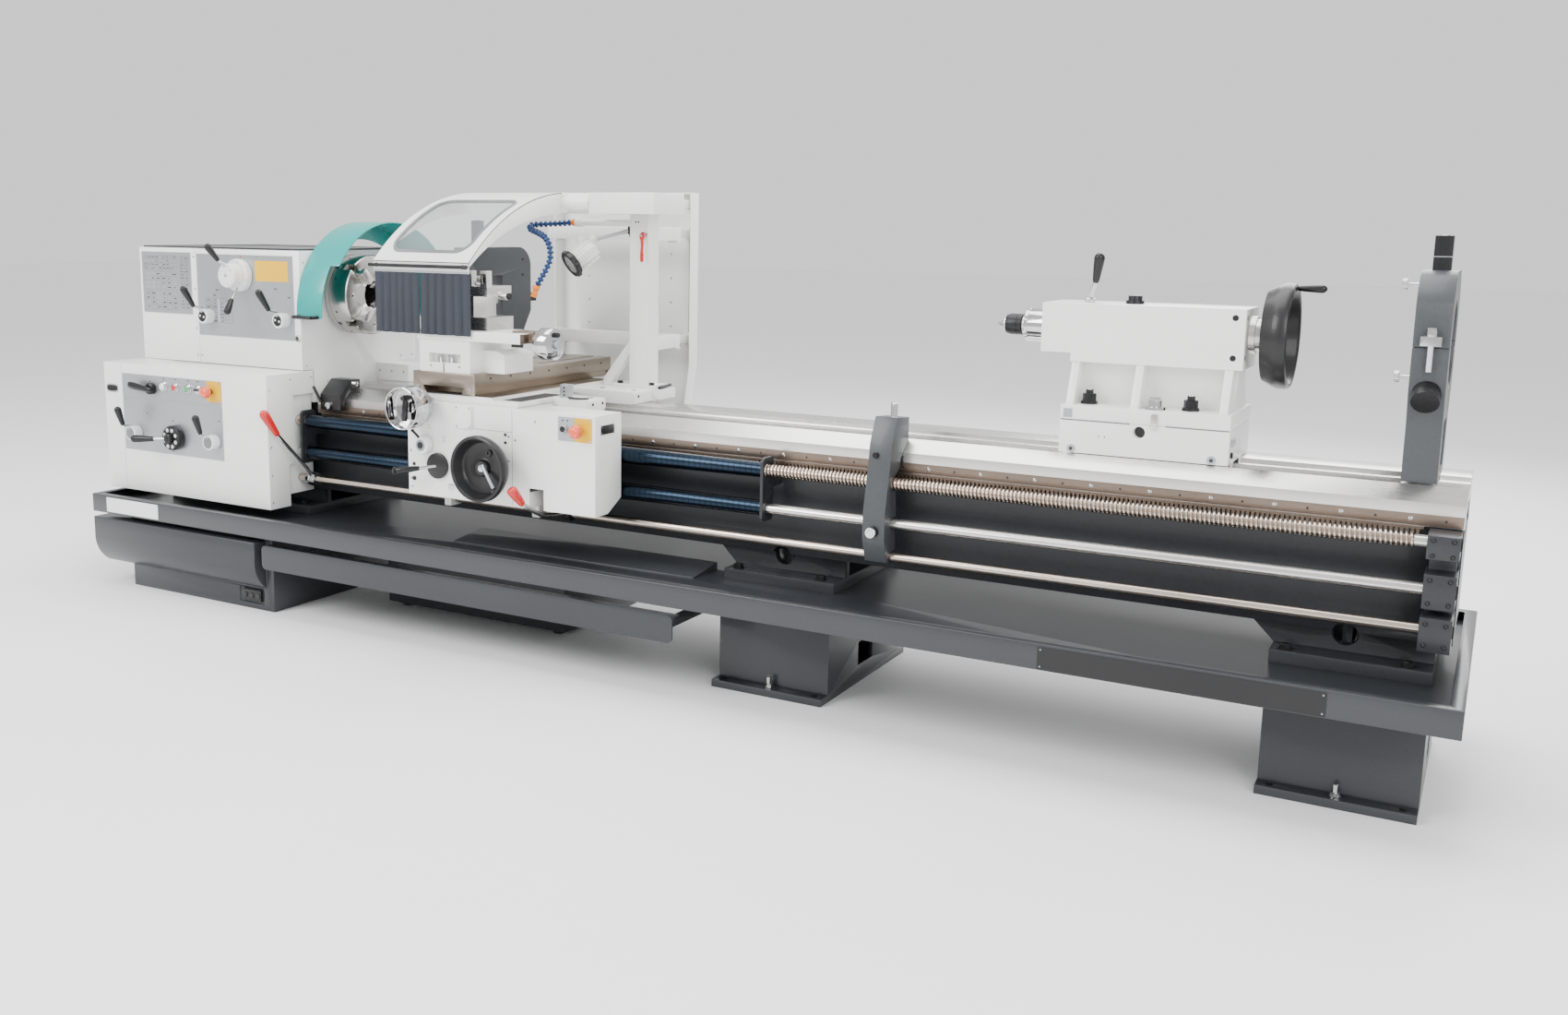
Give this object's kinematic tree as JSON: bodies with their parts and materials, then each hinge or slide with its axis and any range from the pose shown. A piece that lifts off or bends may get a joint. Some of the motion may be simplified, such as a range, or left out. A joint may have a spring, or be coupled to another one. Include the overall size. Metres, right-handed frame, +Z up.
{
  "type": "engine lathe",
  "caption": "Long-bed metal turning lathe with geared headstock, guarded chuck, carriage with hooded cross slide, tailstock, rests, full-length chip tray and feet.",
  "frame": {"origin": "centre of the footprint on the floor, with Y zero at the spindle's vertical plane", "axes": "+X along the bed from headstock to tailstock, -Y faces the operator, +Z up"},
  "size_m": [5, 1.18, 1.622],
  "materials": {
    "white_paint": "satin white machine enamel, slightly textured",
    "dark_paint": "gloss anthracite enamel",
    "grey_paint": "grey-blue hammered enamel on castings",
    "teal_paint": "gloss teal enamel",
    "ground_steel": "ground and polished",
    "brown_steel": "oiled ground steel",
    "blued_steel": "blued spring steel",
    "chrome_plate": "polished",
    "cast_black": "painted black casting",
    "plate_alloy": "satin anodised",
    "black_moulding": "fine matt",
    "red_moulding": "gloss",
    "leather_dark": "soft pleated",
    "work_steel": "turned"
  },
  "bodies": {
    "base": {"bed_casting": "dark_paint", "guideways": "ground_steel", "chip_tray": "dark_paint", "left_pedestal": "dark_paint", "feet": "dark_paint", "coolant_tank": "dark_paint", "headstock_housing": "white_paint", "gearbox_cover": "white_paint", "index_plates": "plate_alloy", "main_drive": "cast_black", "rod_brackets": "grey_paint", "screw_cover_left": "blued_steel", "screw_cover_right": "blued_steel"},
    "spindle": {"spindle": "work_steel", "chuck_body": "work_steel"},
    "jaw_1": {"chuck_jaw_1": "work_steel"},
    "jaw_2": {"chuck_jaw_2": "work_steel"},
    "jaw_3": {"chuck_jaw_3": "work_steel"},
    "jaw_4": {"chuck_jaw_4": "work_steel"},
    "input_shaft": {"input_shaft": "work_steel"},
    "motor_pulley": {"motor_pulley": "work_steel"},
    "chuck_guard": {"chuck_guard": "teal_paint"},
    "speed_dial_rear": {"speed_dial_rear": "plate_alloy"},
    "speed_dial_front": {"speed_dial_front": "plate_alloy"},
    "headstock_lever_1": {"headstock_lever_1": "black_moulding"},
    "headstock_lever_2": {"headstock_lever_2": "black_moulding"},
    "gearbox_lever_1": {"gearbox_lever_1": "black_moulding"},
    "gearbox_lever_2": {"gearbox_lever_2": "black_moulding"},
    "gearbox_dial": {"gearbox_dial": "black_moulding"},
    "main_switch": {"main_switch": "black_moulding"},
    "estop_headstock": {"estop_headstock": "red_moulding"},
    "lead_screw": {"lead_screw": "ground_steel"},
    "feed_rod": {"feed_rod": "ground_steel"},
    "start_rod": {"start_rod": "ground_steel"},
    "carriage": {"saddle": "white_paint", "apron": "white_paint", "rear_guard": "white_paint", "follow_rest": "grey_paint"},
    "carriage_wheel": {"carriage_wheel": "cast_black"},
    "apron_lever": {"apron_lever": "black_moulding"},
    "apron_start_lever": {"apron_start_lever": "red_moulding"},
    "estop_apron": {"estop_apron": "red_moulding"},
    "cross_wheel": {"cross_wheel": "chrome_plate"},
    "cross_slide": {"cross_slide": "brown_steel", "compound_base": "white_paint"},
    "top_slide": {"top_slide": "work_steel"},
    "top_wheel": {"top_wheel": "chrome_plate"},
    "hood": {"guard_hood": "white_paint", "hood_curtain": "leather_dark"},
    "lamp_arm": {"lamp_arm": "white_paint"},
    "lamp_head": {"lamp_head": "white_paint"},
    "tailstock": {"tailstock": "white_paint"},
    "quill": {"quill": "chrome_plate"},
    "tail_wheel": {"tail_wheel": "cast_black"},
    "quill_lock": {"quill_lock": "black_moulding"},
    "steady_lower": {"steady_lower": "grey_paint"},
    "steady_upper": {"steady_upper": "grey_paint"},
    "rod_support": {"rod_support": "grey_paint"},
    "carriage_stop": {"carriage_stop": "cast_black"},
    "brake_treadle": {"brake_treadle": "dark_paint"}
  },
  "joints": [
    {"name": "spindle_spin", "type": "hinge", "parent": "base", "child": "spindle", "pos_m": [0, 0, 1.211], "axis": [1, 0, 0], "continuous": true},
    {"name": "jaw_1_move", "type": "slide", "parent": "spindle", "child": "jaw_1", "axis": [0, 0.7071, 0.7071], "range_m": [-0.022, 0.014]},
    {"name": "jaw_2_move", "type": "slide", "parent": "spindle", "child": "jaw_2", "axis": [0, -0.7071, 0.7071], "range_m": [-0.022, 0.014]},
    {"name": "jaw_3_move", "type": "slide", "parent": "spindle", "child": "jaw_3", "axis": [0, -0.7071, -0.7071], "range_m": [-0.022, 0.014]},
    {"name": "jaw_4_move", "type": "slide", "parent": "spindle", "child": "jaw_4", "axis": [0, 0.7071, -0.7071], "range_m": [-0.022, 0.014]},
    {"name": "input_spin", "type": "hinge", "parent": "base", "child": "input_shaft", "pos_m": [0, -0.0853, 1.06326], "axis": [1, 0, 0], "continuous": true},
    {"name": "motor_spin", "type": "hinge", "parent": "base", "child": "motor_pulley", "pos_m": [0, 0.29, 1.03], "axis": [1, 0, 0], "continuous": true},
    {"name": "chuck_guard_swing", "type": "hinge", "parent": "base", "child": "chuck_guard", "pos_m": [0, 0.405, 1.118], "axis": [-1, 0, 0], "range_deg": [0, 80]},
    {"name": "speed_dial_rear_turn", "type": "hinge", "parent": "base", "child": "speed_dial_rear", "pos_m": [-1.88, 0, 1.283], "axis": [0, 1, 0], "range_deg": [-120, 120]},
    {"name": "speed_dial_front_turn", "type": "hinge", "parent": "base", "child": "speed_dial_front", "pos_m": [-1.88, 0, 1.283], "axis": [0, 1, 0], "range_deg": [-120, 120]},
    {"name": "headstock_lever_1_turn", "type": "hinge", "parent": "base", "child": "headstock_lever_1", "pos_m": [-2.065, 0, 1.114], "axis": [0, 1, 0], "range_deg": [-45, 45]},
    {"name": "headstock_lever_2_turn", "type": "hinge", "parent": "base", "child": "headstock_lever_2", "pos_m": [-1.642, 0, 1.114], "axis": [0, 1, 0], "range_deg": [-45, 45]},
    {"name": "gearbox_lever_1_turn", "type": "hinge", "parent": "base", "child": "gearbox_lever_1", "pos_m": [-2.303, 0, 0.64], "axis": [0, 1, 0], "range_deg": [-45, 45]},
    {"name": "gearbox_lever_2_turn", "type": "hinge", "parent": "base", "child": "gearbox_lever_2", "pos_m": [-1.848, 0, 0.64], "axis": [0, 1, 0], "range_deg": [-45, 45]},
    {"name": "gearbox_dial_turn", "type": "hinge", "parent": "base", "child": "gearbox_dial", "pos_m": [-2.072, 0, 0.637], "axis": [0, 1, 0], "range_deg": [-150, 150]},
    {"name": "main_switch_turn", "type": "hinge", "parent": "base", "child": "main_switch", "pos_m": [-2.202, 0, 0.826], "axis": [0, 1, 0], "range_deg": [0, 90]},
    {"name": "estop_headstock_press", "type": "slide", "parent": "base", "child": "estop_headstock", "axis": [0, 1, 0], "range_m": [0, 0.005], "stiffness_N_per_m": 800},
    {"name": "lead_screw_spin", "type": "hinge", "parent": "base", "child": "lead_screw", "pos_m": [0, -0.28, 0.728], "axis": [1, 0, 0], "continuous": true},
    {"name": "feed_rod_spin", "type": "hinge", "parent": "base", "child": "feed_rod", "pos_m": [0, -0.28, 0.604], "axis": [1, 0, 0], "continuous": true},
    {"name": "start_rod_turn", "type": "hinge", "parent": "base", "child": "start_rod", "pos_m": [0, -0.28, 0.5], "axis": [1, 0, 0], "range_deg": [-14, 14]},
    {"name": "carriage_slide", "type": "slide", "parent": "base", "child": "carriage", "axis": [1, 0, 0], "range_m": [-0.34, 0.68], "deforming": ["screw_cover_left", "screw_cover_right"]},
    {"name": "carriage_wheel_turn", "type": "hinge", "parent": "carriage", "child": "carriage_wheel", "pos_m": [-0.457, 0, 0.68], "axis": [0, 1, 0], "range_deg": [-1025, 2045]},
    {"name": "apron_lever_turn", "type": "hinge", "parent": "carriage", "child": "apron_lever", "pos_m": [-0.707, 0, 0.655], "axis": [0, 1, 0], "range_deg": [-30, 30]},
    {"name": "apron_start_lever_turn", "type": "hinge", "parent": "carriage", "child": "apron_start_lever", "pos_m": [0, -0.28, 0.5], "axis": [1, 0, 0], "range_deg": [-14, 14]},
    {"name": "estop_apron_press", "type": "slide", "parent": "carriage", "child": "estop_apron", "axis": [0, 1, 0], "range_m": [0, 0.005], "stiffness_N_per_m": 800},
    {"name": "cross_wheel_turn", "type": "hinge", "parent": "carriage", "child": "cross_wheel", "pos_m": [-0.769, 0, 0.865], "axis": [0, 1, 0], "range_deg": [0, 11880]},
    {"name": "cross_slide_move", "type": "slide", "parent": "carriage", "child": "cross_slide", "axis": [0, 1, 0], "range_m": [0, 0.166]},
    {"name": "top_slide_move", "type": "slide", "parent": "cross_slide", "child": "top_slide", "axis": [1, 0, 0], "range_m": [-0.1, 0.1]},
    {"name": "top_wheel_turn", "type": "hinge", "parent": "top_slide", "child": "top_wheel", "pos_m": [0, -0.362, 1.096], "axis": [-1, 0, 0], "range_deg": [-7150, 7150]},
    {"name": "hood_swing", "type": "hinge", "parent": "carriage", "child": "hood", "pos_m": [0, 0.118, 1.574], "axis": [-1, 0, 0], "range_deg": [0, 75]},
    {"name": "lamp_arm_turn", "type": "hinge", "parent": "carriage", "child": "lamp_arm", "pos_m": [-0.361, 0.24, 0], "axis": [0, 0, 1], "range_deg": [-10, 60]},
    {"name": "lamp_tilt", "type": "hinge", "parent": "lamp_arm", "child": "lamp_head", "pos_m": [-0.487, 0.165, 1.44], "axis": [1, 0, 0], "range_deg": [-30, 30]},
    {"name": "tailstock_slide", "type": "slide", "parent": "base", "child": "tailstock", "axis": [1, 0, 0], "range_m": [-1.2, 0.2]},
    {"name": "tail_wheel_turn", "type": "hinge", "parent": "tailstock", "child": "tail_wheel", "pos_m": [0, 0, 1.211], "axis": [-1, 0, 0], "range_deg": [-3590, 10190]},
    {"name": "quill_move", "type": "slide", "parent": "tailstock", "child": "quill", "axis": [-1, 0, 0], "range_m": [-0.06, 0.17]},
    {"name": "quill_lock_turn", "type": "hinge", "parent": "tailstock", "child": "quill_lock", "pos_m": [1.417, 0, 0], "axis": [0, 0, 1], "range_deg": [-45, 45]},
    {"name": "steady_slide", "type": "slide", "parent": "base", "child": "steady_lower", "axis": [1, 0, 0], "range_m": [-0.2, 0.06]},
    {"name": "steady_open", "type": "hinge", "parent": "steady_lower", "child": "steady_upper", "pos_m": [0, 0.171, 1.211], "axis": [-1, 0, 0], "range_deg": [0, 90]},
    {"name": "rod_support_slide", "type": "slide", "parent": "base", "child": "rod_support", "axis": [1, 0, 0], "range_m": [-0.3, 1.4]},
    {"name": "carriage_stop_slide", "type": "slide", "parent": "base", "child": "carriage_stop", "axis": [1, 0, 0], "range_m": [0, 0.3]},
    {"name": "brake_treadle_press", "type": "hinge", "parent": "base", "child": "brake_treadle", "pos_m": [0, -0.23, 0.232], "axis": [1, 0, 0], "range_deg": [0, 8], "stiffness_Nm_per_rad": 170, "springref_deg": -20.05}
  ],
  "couplings": [
    {"joint": "input_spin", "follows": "spindle_spin", "ratio": -2.7778},
    {"joint": "motor_spin", "follows": "spindle_spin", "ratio": -4.2735},
    {"joint": "carriage_wheel_turn", "follows": "carriage_slide", "rad_per_m": 52.36},
    {"joint": "apron_start_lever_turn", "follows": "start_rod_turn", "ratio": 1},
    {"joint": "cross_slide_move", "follows": "cross_wheel_turn", "m_per_rad": 0.00079577},
    {"joint": "top_slide_move", "follows": "top_wheel_turn", "m_per_rad": -0.00079577},
    {"joint": "quill_move", "follows": "tail_wheel_turn", "m_per_rad": 0.00095493}
  ]
}
